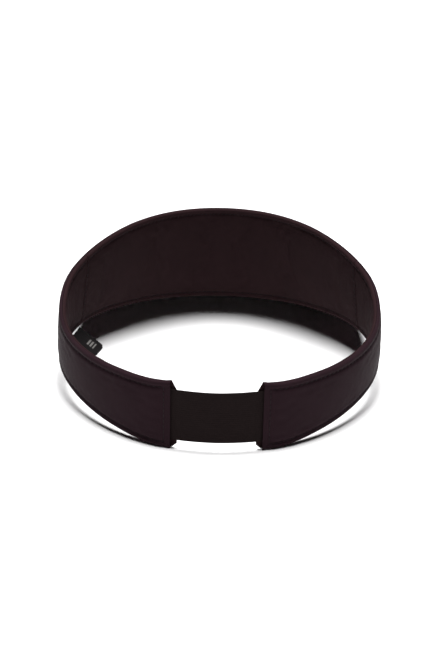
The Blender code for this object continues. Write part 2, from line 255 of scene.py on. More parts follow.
def closed_cloth(name, face, towards, thickness, cloth_uv, edge_uv):
    """A cloth of even thickness behind a grid of points that is its visible face."""
    columns, rows = face.shape[:2]
    normals = grid_normals(face)
    if (normals * towards).sum() < 0:
        face, towards = face[:, ::-1], towards[:, ::-1]
        cloth_uv, edge_uv = cloth_uv[:, ::-1], edge_uv[:, ::-1]
        normals = grid_normals(face)
    back = face - normals * thickness
    faces = grid_faces(columns, rows).tolist()
    faces += grid_faces(columns, rows, columns * rows)[:, ::-1].tolist()
    faces += rim_faces(columns, rows)
    points = np.concatenate([face.reshape(-1, 3), back.reshape(-1, 3)])
    uvs = [np.concatenate([uv.reshape(-1, 2)] * 2) for uv in (cloth_uv, edge_uv)]
    piece = make_mesh(name, points, faces, *uvs)
    print(name, "has", len(points), "points")
    return piece


# %% [markdown]
# ## The panels and their sewing lines
# The band has three padded panels: the front and two arms. Each is a sandwich of an outer shell, a sheet of
# foam and a lining. It is sewn inside out, turned, and topstitched all round, a few millimetres from the
# edge. Four things shape its face. The cloth rolls over the edge to a seam half-way through. The topstitch
# pulls a narrow valley. The foam pushes the face up between the valleys. And the free arm ends are pressed
# down on the elastic that is sewn in between their layers.

# %% The three panels
CLOTH = 0.45 * MM
EDGE_ROLL = 1.7 * MM
ARM_END_ROLL = 0.6 * MM
SEAM_ROLL = 0.9 * MM
STITCH_INSET = 3.4 * MM
STITCH_PITCH = 3.0 * MM
OVERHANG_LOWER, OVERHANG_UPPER = 2.6 * MM, 5.4 * MM


class Panel:
    """One padded panel. An arm runs from its free end to the temple, and the right one is mirrored."""

    def __init__(self, name, first, last, side, seed):
        self.name, self.first, self.last = name, first, last
        self.side, self.seed = side, seed
        self.is_arm = name != "front"
        self.bulge = {}
        self.start_roll = ARM_END_ROLL if self.is_arm else SEAM_ROLL
        self.first_row = first + (STITCH_INSET if self.is_arm else STITCH_INSET / 2)

    def overhang(self, layer):
        """How far a layer hangs over on to the elastic. Only an arm's lining does."""
        return OVERHANG if self.is_arm and layer == "lining" else 0


front = Panel("front", TEMPLE, length_at(360 - TEMPLE_TURN), 1, 11)
left_arm = Panel("left_arm", ARM_END, TEMPLE, 1, 23)
right_arm = Panel("right_arm", ARM_END, TEMPLE, -1, 37)
panels = (front, left_arm, right_arm)


def ends_of(panel, along):
    """How far a place is from the panel's first and last ends."""
    return along - panel.first, panel.last - along


def edges_of(panel, layer, along, height):
    """How far a place is from the lower and upper edges, which close in where a lining overhangs."""
    out = np.zeros_like(along)
    if panel.is_arm and layer == "lining":
        out = np.clip((panel.first - along) / OVERHANG, 0, 1)
    low = OVERHANG_LOWER * out
    high = band_height(turn_at(along)) - OVERHANG_UPPER * out
    return height - low, high - height


# %% [markdown]
# ## The relief of a panel's face
# Each effect is a small height in metres, and the face is their sum. Positive numbers go into the padding.
# The valley under a topstitch is deepest at the needle holes, one every three millimetres, and small
# puckers run off from it. The lining of the front also has a few soft upright folds, where the flat panel
# was bent round the forehead.

# %% Valleys, puckers, folds and rolled edges
VALLEY_DEPTH = 0.5 * MM
VALLEY_WIDTH = 0.8 * MM
PUCKER = 0.09 * MM
ARM_PRESS = 0.6 * MM
ARM_TIP, SEAM_TIP = 0.65 * MM, 0.9 * MM
ROW_START = 0.6 * MM
FOLDS = ((121, 2.4, 0.30), (127, 3.2, 0.22), (203, 3.0, 0.26), (209, 2.6, 0.34), (233, 3.4, 0.40),
         (239, 2.6, 0.30), (246, 2.2, 0.24))


def rolled(distance, radius):
    """1 at the edge and 0 from one radius on, along a quarter circle."""
    share = np.clip(1 - distance / radius, 0, 1)
    return 1 - np.sqrt(np.clip(1 - share * share, 0, 1))


def valley(distance, along):
    """The valley of a row of stitches at that distance, pulled down at every needle hole."""
    pull = 0.8 + 0.2 * np.cos(2 * pi * along / STITCH_PITCH)
    return VALLEY_DEPTH * pull * np.exp(-((distance / VALLEY_WIDTH) ** 2))


def sewing(panel, along, height, low, high):
    """How deep the topstitching pulls the face in."""
    near, far = ends_of(panel, along)
    edge = np.minimum(low, high)
    row_start = STITCH_INSET if panel.is_arm else STITCH_INSET / 2
    inside = ease((near - row_start + ROW_START) / ROW_START)
    deep = valley(edge - STITCH_INSET, along) * inside
    within = ease((edge - STITCH_INSET + ROW_START) / ROW_START)
    ends = [near - row_start] if panel.is_arm else [near - row_start, far - row_start]
    for end in ends:
        deep = np.maximum(deep, valley(end, height) * within)
    return deep


def puckers(panel, along, low, high):
    """Small ridges that run off at right angles from the topstitching."""
    edge = np.minimum(low, high)
    drift = noise(along / (9 * MM), high / (14 * MM), panel.seed + 1)
    ridges = np.sin(2 * pi * along / (5.1 * MM) + 2.5 * drift)
    away = np.abs(edge - STITCH_INSET) / (2.4 * MM)
    strength = 0.6 + 0.4 * noise(along / (13 * MM), low / (20 * MM), panel.seed + 2)
    return PUCKER * ridges * strength * np.exp(-away)


def slack(panel, layer, along, height):
    """Soft uneven places, longer up the band than along it."""
    seed = panel.seed + (3 if layer == "shell" else 5)
    broad = noise(along / (17 * MM), height / (42 * MM) + 0.3, seed)
    fine = noise(along / (6.5 * MM), height / (19 * MM) + 0.7, seed + 1)
    return 0.20 * MM * broad + 0.07 * MM * fine


def folds(panel, layer, along):
    if panel.is_arm or layer == "shell":
        return np.zeros_like(along)
    turn = turn_at(along)
    return sum(depth * MM * np.exp(-(((turn - place) / width) ** 2)) for place, width, depth in FOLDS)


def padding(panel, layer, along, low, high):
    """How far the foam pushes the face out between the rows of stitching."""
    near, far = ends_of(panel, along)
    inner = np.clip((np.minimum(low, high) - STITCH_INSET) / (11 * MM), 0, 1)
    ends = np.clip(np.minimum(near, far) / (9 * MM), 0, 1)
    crown = (1 - (1 - inner) ** 2) * (1 - (1 - ends) ** 2)
    cord = np.sin(pi * np.clip(np.minimum(low, high) / STITCH_INSET, 0, 1)) ** 2
    height = 0.55 * MM if panel.is_arm else 0.35 * MM
    return height * crown + 0.12 * MM * cord


def relief(panel, layer, along, height):
    """How deep the face of a layer lies under the flat face of the band."""
    low, high = edges_of(panel, layer, along, height)
    near, far = ends_of(panel, along)
    away = ease(np.minimum(low, high) / (5 * MM))
    soft = (slack(panel, layer, along, height) + folds(panel, layer, along)) * away
    deep = sewing(panel, along, height, low, high) + puckers(panel, along, low, high) + soft
    deep = deep - padding(panel, layer, along, low, high) - bulge(panel, layer, along, height)
    seam = BAND_THICKNESS / 2 - 0.1 * MM
    if panel.is_arm:
        press = 1 - ease(near / (8 * MM))
        deep = deep * (1 - 0.6 * press) + ARM_PRESS * press
        sheet = 1 - ease((near + 0.2 * MM) / (3 * MM)) if layer == "lining" else 0
        seam = seam + (ARM_TIP - seam) * sheet
    tip = ARM_TIP if panel.is_arm else SEAM_TIP
    start = near + panel.overhang(layer)
    deep = deep + (tip - deep) * rolled(start, panel.start_roll)
    deep = deep + (SEAM_TIP - deep) * rolled(far, SEAM_ROLL)
    return deep + (seam - deep) * rolled(np.minimum(low, high), EDGE_ROLL)


# %% [markdown]
# ## Padding by cloth simulation
# Foam under cloth isn't perfectly even, and cloth that is held only by its stitching bulges in its own way.
# So each panel is also blown up a little as a pillow. Two grids, one for each face, are pinned where the
# thread holds them, and Blender's cloth solver presses air in between them for twenty frames. Only how far
# each point moved out is kept, with a limit, and it is added to the fine faces below. Simulating a coarse
# pillow and reading it like a map is much faster than simulating the fine cloth, and the sewn valleys stay
# crisp.

# %% Blow up a pillow between the stitches
PILLOW_STEP = 2.6 * MM
PILLOW_LIMIT = 0.7 * MM
PILLOW_PRESSURE = 4.0
PILLOW_SLACK = 0.003
PILLOW_FRAMES = 20


def pillow_grid(panel):
    """Places along and shares up the panel, from one row of stitching to the other."""
    first = panel.first_row
    last = panel.last - (0 if panel.is_arm else STITCH_INSET / 2)
    along = np.linspace(first, last, ceil((last - first) / PILLOW_STEP) + 1)
    tallest = band_height(turn_at(along)).max() - 2 * STITCH_INSET
    shares = np.linspace(0, 1, ceil(tallest / PILLOW_STEP) + 1)
    return along, shares


def pillow_points(along, shares, depth):
    along, shares = np.meshgrid(along, shares, indexing="ij")
    turn = turn_at(along)
    height = STITCH_INSET + shares * (band_height(turn) - 2 * STITCH_INSET)
    return band(turn, height, np.full_like(height, depth)), outward(turn)


def simulate_pillow(panel):
    """Fills panel.bulge with how far each grid point moved out."""
    along, shares = pillow_grid(panel)
    outer, away = pillow_points(along, shares, VALLEY_DEPTH)
    inner, _ = pillow_points(along, shares, BAND_THICKNESS - VALLEY_DEPTH)
    columns, rows = outer.shape[:2]
    faces = grid_faces(columns, rows).tolist()
    faces += grid_faces(columns, rows, columns * rows)[:, ::-1].tolist()
    faces += rim_faces(columns, rows)
    points = np.concatenate([outer.reshape(-1, 3), inner.reshape(-1, 3)])
    if (grid_normals(outer) * away).sum() < 0:
        faces = [face[::-1] for face in faces]
    pillow = make_mesh("pillow", points, faces)
    i, j = np.meshgrid(np.arange(columns), np.arange(rows), indexing="ij")
    held = (i == 0) | (i == columns - 1) | (j == 0) | (j == rows - 1)
    held = np.flatnonzero(np.concatenate([held.ravel()] * 2))
    pillow.vertex_groups.new(name="held").add(held.tolist(), 1.0, "REPLACE")
    cloth = pillow.modifiers.new("cloth", "CLOTH")
    cloth.settings.vertex_group_mass = "held"
    cloth.settings.quality = 6
    cloth.settings.mass = 0.1
    cloth.settings.bending_stiffness = 0.2
    cloth.settings.use_pressure = True
    cloth.settings.uniform_pressure_force = PILLOW_PRESSURE
    cloth.settings.shrink_min = -PILLOW_SLACK
    cloth.settings.effector_weights.gravity = 0
    for number in range(1, PILLOW_FRAMES + 1):
        bpy.context.scene.frame_set(number)
    settled = pillow.evaluated_get(bpy.context.evaluated_depsgraph_get()).data
    moved = np.empty(len(settled.vertices) * 3, np.float32)
    settled.vertices.foreach_get("co", moved)
    moved = (moved.reshape(-1, 3) - points).reshape(2, columns, rows, 3)
    out = np.stack([(moved[0] * away).sum(-1), -(moved[1] * away).sum(-1)])
    bpy.data.objects.remove(pillow)
    bpy.context.scene.frame_set(1)
    out = PILLOW_LIMIT * np.tanh(out / PILLOW_LIMIT)
    for layer, field in zip(("shell", "lining"), out):
        panel.bulge[layer] = (along, shares, field)
    print(panel.name, "pillow rises to", np.round(out.max(axis=(1, 2)) / MM, 2), "mm, shell and lining")


def smooth_read(field, x, y):
    """Reads a grid between its points, along smooth curves through four neighbours each way."""
    columns, rows = field.shape
    i, j = np.floor(x).astype(int), np.floor(y).astype(int)
    u, v = x - i, y - j

    def weights(t):
        return (-t**3 + 2 * t**2 - t, 3 * t**3 - 5 * t**2 + 2, -3 * t**3 + 4 * t**2 + t, t**3 - t**2)

    total = 0
    for a, across in enumerate(weights(u)):
        for b, up in enumerate(weights(v)):
            near = field[np.clip(i + a - 1, 0, columns - 1), np.clip(j + b - 1, 0, rows - 1)]
            total = total + near * across * up / 4
    return total


def bulge(panel, layer, along, height):
    if layer not in panel.bulge:
        return 0
    places, shares, field = panel.bulge[layer]
    turn = turn_at(along)
    share = (height - STITCH_INSET) / (band_height(turn) - 2 * STITCH_INSET)
    x = (along - places[0]) / (places[-1] - places[0]) * (len(places) - 1)
    y = share * (len(shares) - 1)
    inside = (x >= 0) & (x <= len(places) - 1) & (y >= 0) & (y <= len(shares) - 1)
    x, y = np.clip(x, 0, len(places) - 1), np.clip(y, 0, len(shares) - 1)
    return np.where(inside, smooth_read(field, x, y), 0)


for panel in panels:
    simulate_pillow(panel)

# %% [markdown]
# ## Shells and linings
# A face is a grid of places, pushed in by its relief. The columns are close together all along, so that
# needle holes and puckers have enough points, and closer still at the panel's ends. The rows crowd at the
# edges and at the stitching. The cloth behind the face has an even thickness, so the piece is a closed
# solid that could be printed.

# %% Rows and columns of a face
COLUMN_STEP = 0.75 * MM
ROWS_BY_STITCHING = (2.2, 2.7, 3.05, 3.4, 3.75, 4.1, 4.7, 5.6)
FRONT_ROWS, ARM_ROWS = 44, 26


def roll_steps(radius, count):
    return [radius * (1 - np.cos(angle)) for angle in np.linspace(0, pi / 2, count + 1)]


def columns_of(panel, layer):
    """Places along a panel, close together where its ends roll in."""
    first = panel.first - panel.overhang(layer)
    start, end = roll_steps(panel.start_roll, 5), roll_steps(SEAM_ROLL, 5)
    low, high = first + start[-1], panel.last - end[-1]
    middle = np.linspace(low, high, ceil((high - low) / COLUMN_STEP) + 1)
    return np.concatenate([first + np.array(start[:-1]), middle, panel.last - np.array(end[:-1])[::-1]])


def rows_of(panel, layer, along):
    """Heights at each place along, crowded at the edges and at the stitching."""
    near = np.array(roll_steps(EDGE_ROLL, 6) + [value * MM for value in ROWS_BY_STITCHING])
    low, high = edges_of(panel, layer, along, np.zeros_like(along))
    low = -low
    middle = np.linspace(0, 1, (ARM_ROWS if panel.is_arm else FRONT_ROWS) + 1)[1:-1]
    room = (high - low)[:, None]
    lower = low[:, None] + near
    upper = high[:, None] - near[::-1]
    between = lower[:, -1:] + (room - 2 * near[-1]) * middle
    return np.concatenate([lower, between, upper], axis=1)


def face_point(panel, layer, along, height):
    """Where the face of a layer is, in the row frame."""
    deep = relief(panel, layer, along, height)
    depth = deep if layer == "shell" else BAND_THICKNESS - deep
    points = band(turn_at(along), height, depth)
    return points * [panel.side, 1, 1]


def away_from_padding(panel, layer, along):
    way = outward(turn_at(along)) * [panel.side, 1, 1]
    return way if layer == "shell" else -way


def make_layer(panel, layer):
    columns = columns_of(panel, layer)
    height = rows_of(panel, layer, columns)
    along = np.repeat(columns[:, None], height.shape[1], axis=1)
    low, high = edges_of(panel, layer, along, height)
    near, far = ends_of(panel, along)
    cloth_uv = np.stack([along * panel.side, height], -1)
    edge_uv = np.stack([np.minimum(low, high), np.minimum(near, far)], -1)
    face = face_point(panel, layer, along, height)
    towards = away_from_padding(panel, layer, along)
    name = f"{panel.name}_outer_cloth" if layer == "shell" else f"{panel.name}_inner_cloth"
    return closed_cloth(name, face, towards, CLOTH, cloth_uv, edge_uv)


# %% Sew the six layers
layers = {}
for panel in panels:
    for layer in ("shell", "lining"):
        layers[panel.name, layer] = make_layer(panel, layer)

# %% [markdown]
# ## Foam and stiffener
# Under the cloth lies a sheet of foam, and at the forehead a sheet of stiff buckram as well. They stop
# short of the topstitching, so that the needle never goes through them. Their corners are soft, and the
# foam's faces are slightly uneven.

# %% Foam sheets and the stiffener
FOAM_INSET = 4.6 * MM


def loop_faces(columns, rows):
    """Faces of a tube of closed loops, with flat ends."""
    around = np.arange(rows)
    i, a = np.meshgrid(np.arange(columns - 1), around, indexing="ij")
    b = (a + 1) % rows
    sides = np.stack([i * rows + a, (i + 1) * rows + a, (i + 1) * rows + b, i * rows + b], -1)
    last = (columns - 1) * rows
    return sides.reshape(-1, 4).tolist() + [around[::-1].tolist(), (last + around).tolist()]


def make_filling(name, panel, start, middle, thickness, uneven):
    """A sheet round a middle depth: one closed loop of points round its section for every column."""
    last = panel.last - 0.4 * MM
    along = np.linspace(start, last, ceil((last - start) / (2.5 * MM)) + 1)
    half = thickness / 2
    flat = np.linspace(0, 1, 15) + 0 * along[:, None]
    bend = np.linspace(-pi / 2, pi / 2, 7)[1:-1] + 0 * along[:, None]
    low = FOAM_INSET + half
    high = band_height(turn_at(along))[:, None] - low
    rise = low + (high - low) * flat
    height = [rise, high + half * np.cos(bend), rise[:, ::-1], low - half * np.cos(bend)]
    depth = [0 * flat - half, half * np.sin(bend), 0 * flat + half, -half * np.sin(bend)]
    height, depth = np.concatenate(height, axis=1), np.concatenate(depth, axis=1)
    depth[[0, -1]] *= 0.3
    places = along[:, None] + 0 * height
    depth += uneven * noise(places / (5 * MM), height / (5 * MM), panel.seed + 9) * np.sign(depth)
    points = band(turn_at(places), height, middle + depth) * [panel.side, 1, 1]
    faces = loop_faces(*height.shape)
    if panel.side > 0:
        faces = [face[::-1] for face in faces]
    uv = np.stack([places * panel.side, height], -1).reshape(-1, 2)
    return make_mesh(name, points.reshape(-1, 3), faces, uv, uv)


ELASTIC_TAIL = 11.0 * MM
foam_start = ARM_END + ELASTIC_TAIL + 0.8 * MM
front_start = front.first + 0.4 * MM
fillings = {
    "front_padding": make_filling("front_padding", front, front_start, 2.25 * MM, 0.8 * MM, 0.05 * MM),
    "front_buckram": make_filling("front_buckram", front, front_start, 1.2 * MM, 0.5 * MM, 0.0),
}
for arm in (left_arm, right_arm):
    name = arm.name + "_padding"
    fillings[name] = make_filling(name, arm, foam_start, 1.8 * MM, 1.6 * MM, 0.05 * MM)
print("fillings:", ", ".join(fillings))

# %% [markdown]
# ## Stitches
# A lockstitch shows as a row of short dashes: the thread comes out of one hole, lies on the cloth for two
# to three millimetres and goes down the next. A painted line would do from far off. Here every stitch is
# its own small rod of thread, which bends down into the cloth at both ends, because the dashes catch the
# light one by one and follow each bend of the valley that they pull.

# %% Rods of thread on a face
THREAD_RADIUS = 0.19 * MM
STITCH_LENGTH = 2.45 * MM
ROD_SAMPLES = 7
ROD_SIDES = 8


def spaced_stitches(route):
    """Places at the samples of every stitch along a route of (along, height) points."""
    route = np.array(route, float)
    walk = np.concatenate([[0], np.cumsum(np.linalg.norm(np.diff(route, axis=0), axis=1))])
    count = int(walk[-1] / STITCH_PITCH)
    starts = (walk[-1] - count * STITCH_PITCH) / 2 + STITCH_PITCH * np.arange(count)
    starts = starts + (STITCH_PITCH - STITCH_LENGTH) / 2
    at = starts[:, None] + STITCH_LENGTH * np.linspace(0, 1, ROD_SAMPLES)
    return np.stack([np.interp(at, walk, route[:, k]) for k in (0, 1)], -1)


def rods(points, normals):
    """Points and faces of one rod for each row of samples, sunk into the cloth at both ends."""
    share = np.linspace(0, 1, ROD_SAMPLES)
    lift = THREAD_RADIUS * (1.25 * np.sin(pi * share) ** 0.5 - 0.55)
    radius = THREAD_RADIUS * np.where((share == 0) | (share == 1), 0.55, 1.0)
    ahead = unit(np.gradient(points, axis=1))
    side = unit(np.cross(normals, ahead))
    angles = np.linspace(0, 2 * pi, ROD_SIDES, endpoint=False)
    ring = np.cos(angles)[:, None] * side[:, :, None] + 0.85 * np.sin(angles)[:, None] * normals[:, :, None]
    centre = points + normals * lift[:, None]
    skin = centre[:, :, None] + ring * radius[:, None, None]
    count = len(points)
    block = ROD_SAMPLES * ROD_SIDES
    faces = []
    for k in range(ROD_SAMPLES - 1):
        for a in range(ROD_SIDES):
            b = (a + 1) % ROD_SIDES
            low, high = k * ROD_SIDES, (k + 1) * ROD_SIDES
            faces.append((low + b, low + a, high + a, high + b))
    caps = [tuple(range(ROD_SIDES)), tuple(reversed(range(block - ROD_SIDES, block)))]
    everything = [tuple(v + n * block for v in face) for n in range(count) for face in faces + caps]
    walk = np.linspace(0, STITCH_LENGTH, ROD_SAMPLES)[:, None] + 0 * angles
    around = 0 * walk + angles * THREAD_RADIUS
    uv = np.tile(np.stack([walk, around], -1).reshape(-1, 2), (count, 1))
    return skin.reshape(-1, 3), everything, uv


def join_rods(name, parts):
    """One piece from several rows of stitches, each given as samples on a face and normals."""
    points, faces, uvs, total = [], [], [], 0
    for samples, normals in parts:
        skin, quads, uv = rods(samples, normals)
        points.append(skin)
        faces += [tuple(v + total for v in face) for face in quads]
        uvs.append(uv)
        total += len(skin)
    uv = np.concatenate(uvs)
    piece = make_mesh(name, np.concatenate(points), faces, uv, uv)
    print(name, "has", total // (ROD_SAMPLES * ROD_SIDES), "stitches")
    return piece


def on_panel(panel, layer, samples):
    """Samples of stitches laid on a panel's face, with the face's normals."""
    along, height = samples[..., 0], samples[..., 1]
    small = 0.15 * MM
    here = face_point(panel, layer, along, height)
    one = face_point(panel, layer, along + small, height) - here
    other = face_point(panel, layer, along, height + small) - here
    normals = unit(np.cross(one, other))
    towards = away_from_padding(panel, layer, along)
    flip = np.sign((normals * towards).sum(-1, keepdims=True))
    return here, normals * flip


def row_at(panel, height_from_edge, first, last, upper):
    along = np.linspace(first, last, 200)
    top = band_height(turn_at(along)) - height_from_edge
    return np.stack([along, top if upper else np.full_like(along, height_from_edge)], -1)


def column_at(along, low, high):
    return np.stack([np.full(20, along), np.linspace(low, high, 20)], -1)


def panel_rows(panel):
    """The routes of a panel's stitching, by the name of the piece."""
    start = panel.first_row
    end = panel.last - (0.5 * MM if panel.is_arm else STITCH_INSET / 2)
    top = row_at(panel, STITCH_INSET, start, end, True)
    low = row_at(panel, STITCH_INSET, start, end, False)
    if panel.is_arm:
        whole = np.concatenate([top[::-1], low])
        return {panel.name + "_stitches": whole}
    space = STITCH_PITCH / 2
    sides = {}
    for name, place in (("left", start), ("right", end)):
        high = band_height(turn_at(place)) - STITCH_INSET - space
        sides[name + "_temple_stitches"] = column_at(place, STITCH_INSET + space, high)
    return {"front_top_stitches": top, "front_lower_stitches": low, **sides}


stitches = {}
for panel in panels:
    for name, route in panel_rows(panel).items():
        samples = spaced_stitches(route)
        parts = [on_panel(panel, layer, samples) for layer in ("shell", "lining")]
        if name == "front_lower_stitches":
            parts = parts[1:]
        stitches[name] = join_rods(name, parts)

# %% [markdown]
# ## The elastic
# The strap at the back is woven elastic: rubber cords run along it, side by side, and a binding yarn
# crosses over them. Its face is therefore a row of fine ribs. It is one piece here, while the working
# model cuts it at the middle so that it can stretch; nothing makes the one piece stretch with the halves.
# Only a short end is hidden in each arm, and the strap is drawn much thinner there than a real one is
# pressed, so that it keeps clear of the cloths when the arms open.

# %% One woven strap
ELASTIC_LOW, ELASTIC_WIDTH, ELASTIC_THICKNESS = 4.8 * MM, 28.4 * MM, 1.1 * MM
SHOWN_TAIL = 1.5 * MM
RIBS = 24
RIB_HEIGHT = 0.06 * MM
SEWN_REACH, SEWN_RUN = 5.6 * MM, 2.2 * MM
SEWN_PRESS, SEWN_SHIFT = 0.72, 0.06 * MM


def elastic_outline():
    """Height and thickness round the strap's section, starting at the lower corner of its outer face."""
    half = ELASTIC_THICKNESS / 2
    flat = np.linspace(half, ELASTIC_WIDTH - half, RIBS * 6 + 1)
    rib = RIB_HEIGHT * np.abs(np.sin(pi * RIBS * (flat - half) / (ELASTIC_WIDTH - 2 * half)))
    turn = np.linspace(-pi / 2, pi / 2, 9)[1:-1]
    up = np.concatenate([flat, ELASTIC_WIDTH - half + half * np.cos(turn), flat[::-1],
                         half - half * np.cos(turn)])
    out = np.concatenate([-half - rib, half * np.sin(turn), half + rib[::-1], -half * np.sin(turn)])
    return up, out


def make_elastic():
    reach = SHELL_GAP / 2 + SHOWN_TAIL
    along = np.linspace(-reach, reach, 97)
    up, out = elastic_outline()
    places = np.repeat(along[:, None], len(up), axis=1)
    waist = 0.25 * MM * np.cos(np.clip(along / (SHELL_GAP / 2), -1, 1) * pi / 2)[:, None]
    share = up / ELASTIC_WIDTH
    height = ELASTIC_LOW + up + waist * (1 - 2 * share)
    wave = 0.10 * MM * noise(places / (9 * MM), height / (11 * MM), 71)
    sewn = ease((np.abs(places) - SHELL_GAP / 2 + SEWN_REACH) / SEWN_RUN)
    depth = BAND_THICKNESS / 2 - SEWN_SHIFT * sewn + out * (1 - SEWN_PRESS * sewn) + wave * (1 - sewn)
    turn = np.degrees(np.arcsin(places / (curve_through(REACH, 0.0) * MM)))
    points = band(turn, height, depth)
    columns, rows = points.shape[:2]
    faces = loop_faces(columns, rows)
    uv = np.stack([places, height], -1).reshape(-1, 2)
    edge = np.stack([np.minimum(up, ELASTIC_WIDTH - up) + 0 * places, 0 * places + 1], -1)
    return make_mesh("elastic_strap", points.reshape(-1, 3), faces, uv, edge.reshape(-1, 2))


elastic = make_elastic()
print("elastic shown:", SHELL_GAP / MM, "mm long,", ELASTIC_WIDTH / MM, "mm wide")

# %% [markdown]
# ## The brim
# A plastic board gives the brim its curve. A top cloth and an under cloth cover it and meet in a seam at
# its edge, and rows of stitching, which follow the edge, hold the three together. The faces are grids as
# before: columns fan out from the front panel to the edge, and rows run across them.

# %% The brim's shape
BRIM_REACH, BRIM_CORNER = 65.0 * MM, 4.0 * MM
BRIM_CORNER_DROP, BRIM_TIP_RISE = 0.8 * MM, 7.0 * MM
BRIM_ROLL, BRIM_VALLEY = 1.5 * MM, 0.28 * MM
BRIM_HALF_LENGTH = 105 * MM
FOREHEAD_SWEEP = 180 - TEMPLE_TURN
BRIM_ROUNDNESS = 2.35
BRIM_THICKNESS = 3.2 * MM
BRIM_ROOT = -0.3 * MM
BRIM_TUCK = 0.35 * MM
BRIM_SHARES = [(row + 1) / 4.5 for row in range(4)]
BRIM_FIRST_STITCH = 14.0


def brim_root(turn, depth):
    return band(turn, np.zeros_like(turn), np.full_like(turn, depth))


def brim_edge(turn):
    temple = band(np.array(TEMPLE_TURN), np.array(0.0), np.array(BRIM_ROOT))
    swing = np.clip((from_back(turn) - TEMPLE_TURN) / FOREHEAD_SWEEP * pi / 2, 0, pi / 2)
    power = 2 / BRIM_ROUNDNESS
    front_y = RING_CENTRE[1] - forehead + BRIM_ROOT - BRIM_REACH
    x = (temple[0] + BRIM_CORNER) * np.clip(np.cos(swing), 0, 1) ** power
    y = temple[1] + (front_y - temple[1]) * np.sin(swing) ** power
    corner_rise = temple[2] - BRIM_CORNER_DROP
    rises = ((0, corner_rise / MM), (pi / 4, 0.0), (pi / 2, BRIM_TIP_RISE / MM))
    z = curve_through(rises, swing) * MM
    return np.stack([np.where(turn <= 180, x, -x), y, z], -1)


def brim_point(turn, share, rise):
    """A place that share of the way from the front panel to the edge, above the brim's underside."""
    root, edge = brim_root(turn, BRIM_ROOT), brim_edge(turn)
    way = edge - root
    wide = np.maximum(np.linalg.norm(way[..., :2], axis=-1), 1e-6)
    tuck = BRIM_TUCK / wide * np.clip(1 - share * 8, 0, 1)
    return root + way * (share - tuck)[..., None] + UP * rise[..., None]


def brim_width(turn):
    way = brim_edge(turn) - brim_root(turn, BRIM_ROOT)
    return np.linalg.norm(way[..., :2], axis=-1)


# %% Brim cloths with stitched valleys
def brim_relief(turn, share):
    """How deep the brim's face lies under its flat face."""
    wide = brim_width(turn)
    edge = (1 - share) * wide
    sewn = ease((from_back(turn) - TEMPLE_TURN - BRIM_FIRST_STITCH + 2) / 3)
    deep = 0
    for row in BRIM_SHARES:
        deep = deep + BRIM_VALLEY * sewn * np.exp(-((((share - row) * wide) / (0.9 * MM)) ** 2))
    deep = deep + 0.05 * MM * noise(turn / 4, share * 6, 91)
    end = (from_back(turn) - TEMPLE_TURN) / FOREHEAD_SWEEP * BRIM_HALF_LENGTH
    deep = deep + (0.8 * MM - deep) * rolled(end, SEAM_ROLL)
    return deep + (BRIM_THICKNESS / 2 - 0.08 * MM - deep) * rolled(edge, BRIM_ROLL)


def brim_face(side, turn, share):
    deep = brim_relief(turn, share)
    return brim_point(turn, share, BRIM_THICKNESS - deep if side == "top" else deep)


def brim_rows():
    """Shares of the brim's width, crowded at its stitching and at its edge."""
    shares = list(np.linspace(0, 1 - BRIM_ROLL / BRIM_REACH, 50))
    for row in BRIM_SHARES:
        shares += [row + step * MM / BRIM_REACH for step in (-1.2, -0.6, 0, 0.6, 1.2)]
    shares = np.unique(np.round(shares, 5))
    keep = np.concatenate([[True], np.diff(shares) > 0.35 * MM / BRIM_REACH])
    shares = shares[keep]
    edge = 1 - np.array(roll_steps(BRIM_ROLL, 6))[:-1][::-1] / BRIM_REACH
    return np.concatenate([shares[shares < edge[0] - 0.003], edge])


def make_brim_cloth(side):
    ends = np.array(roll_steps(SEAM_ROLL, 5)) / BRIM_HALF_LENGTH * FOREHEAD_SWEEP
    first, last = TEMPLE_TURN, 360 - TEMPLE_TURN
    middle = np.linspace(first + ends[-1], last - ends[-1], 260)
    turn = np.concatenate([first + ends[:-1], middle, last - ends[:-1][::-1]])
    share = brim_rows()
    turn, share = np.meshgrid(turn, share, indexing="ij")
    face = brim_face(side, turn, share)
    wide = brim_width(turn)
    cloth_uv = face[..., :2].copy()
    edge_uv = np.stack([(1 - share) * wide, 0 * share + 1], -1)
    towards = np.broadcast_to(UP if side == "top" else -UP, face.shape)
    return closed_cloth(f"brim_{side}_skin", face, towards, CLOTH, cloth_uv, edge_uv)


brim_cloths = {side: make_brim_cloth(side) for side in ("top", "under")}

# %% Brim stitching
def on_brim(side, samples):
    turn, share = samples[..., 0], samples[..., 1]
    here = brim_face(side, turn, share)
    one = brim_face(side, turn + 0.1, share) - here
    other = brim_face(side, turn, share - 0.002) - here
    normals = unit(np.cross(one, other))
    up = 1 if side == "top" else -1
    return here, normals * np.sign(normals[..., 2:]) * up


def brim_samples(share):
    """Stitch samples along one row, spaced by true length and given as turn and share."""
    first = TEMPLE_TURN + BRIM_FIRST_STITCH
    turn = np.linspace(first, 360 - first, 800)
    line = brim_point(turn, np.full_like(turn, share), np.zeros_like(turn))
    walk = np.concatenate([[0], np.cumsum(np.linalg.norm(np.diff(line, axis=0), axis=1))])
    count = int(walk[-1] / STITCH_PITCH)
    starts = STITCH_PITCH * (np.arange(count) + 0.5) - STITCH_LENGTH / 2
    at = starts[:, None] + STITCH_LENGTH * np.linspace(0, 1, ROD_SAMPLES)
    turns_at = np.interp(at, walk, turn)
    return np.stack([turns_at, np.full_like(turns_at, share)], -1)


for number, share in enumerate(BRIM_SHARES, start=1):
    samples = brim_samples(share)
    name = f"brim_stitches_{number}"
    stitches[name] = join_rods(name, [on_brim(side, samples) for side in ("top", "under")])

# %% [markdown]
# ## The label
# A short woven tape, folded in half, is caught in the lower seam behind the left temple. Its two plies lie
# close together and part a little at the fold. It bends slightly, as a tape does that has been pressed in
# a box. It carries three plain bars instead of writing.

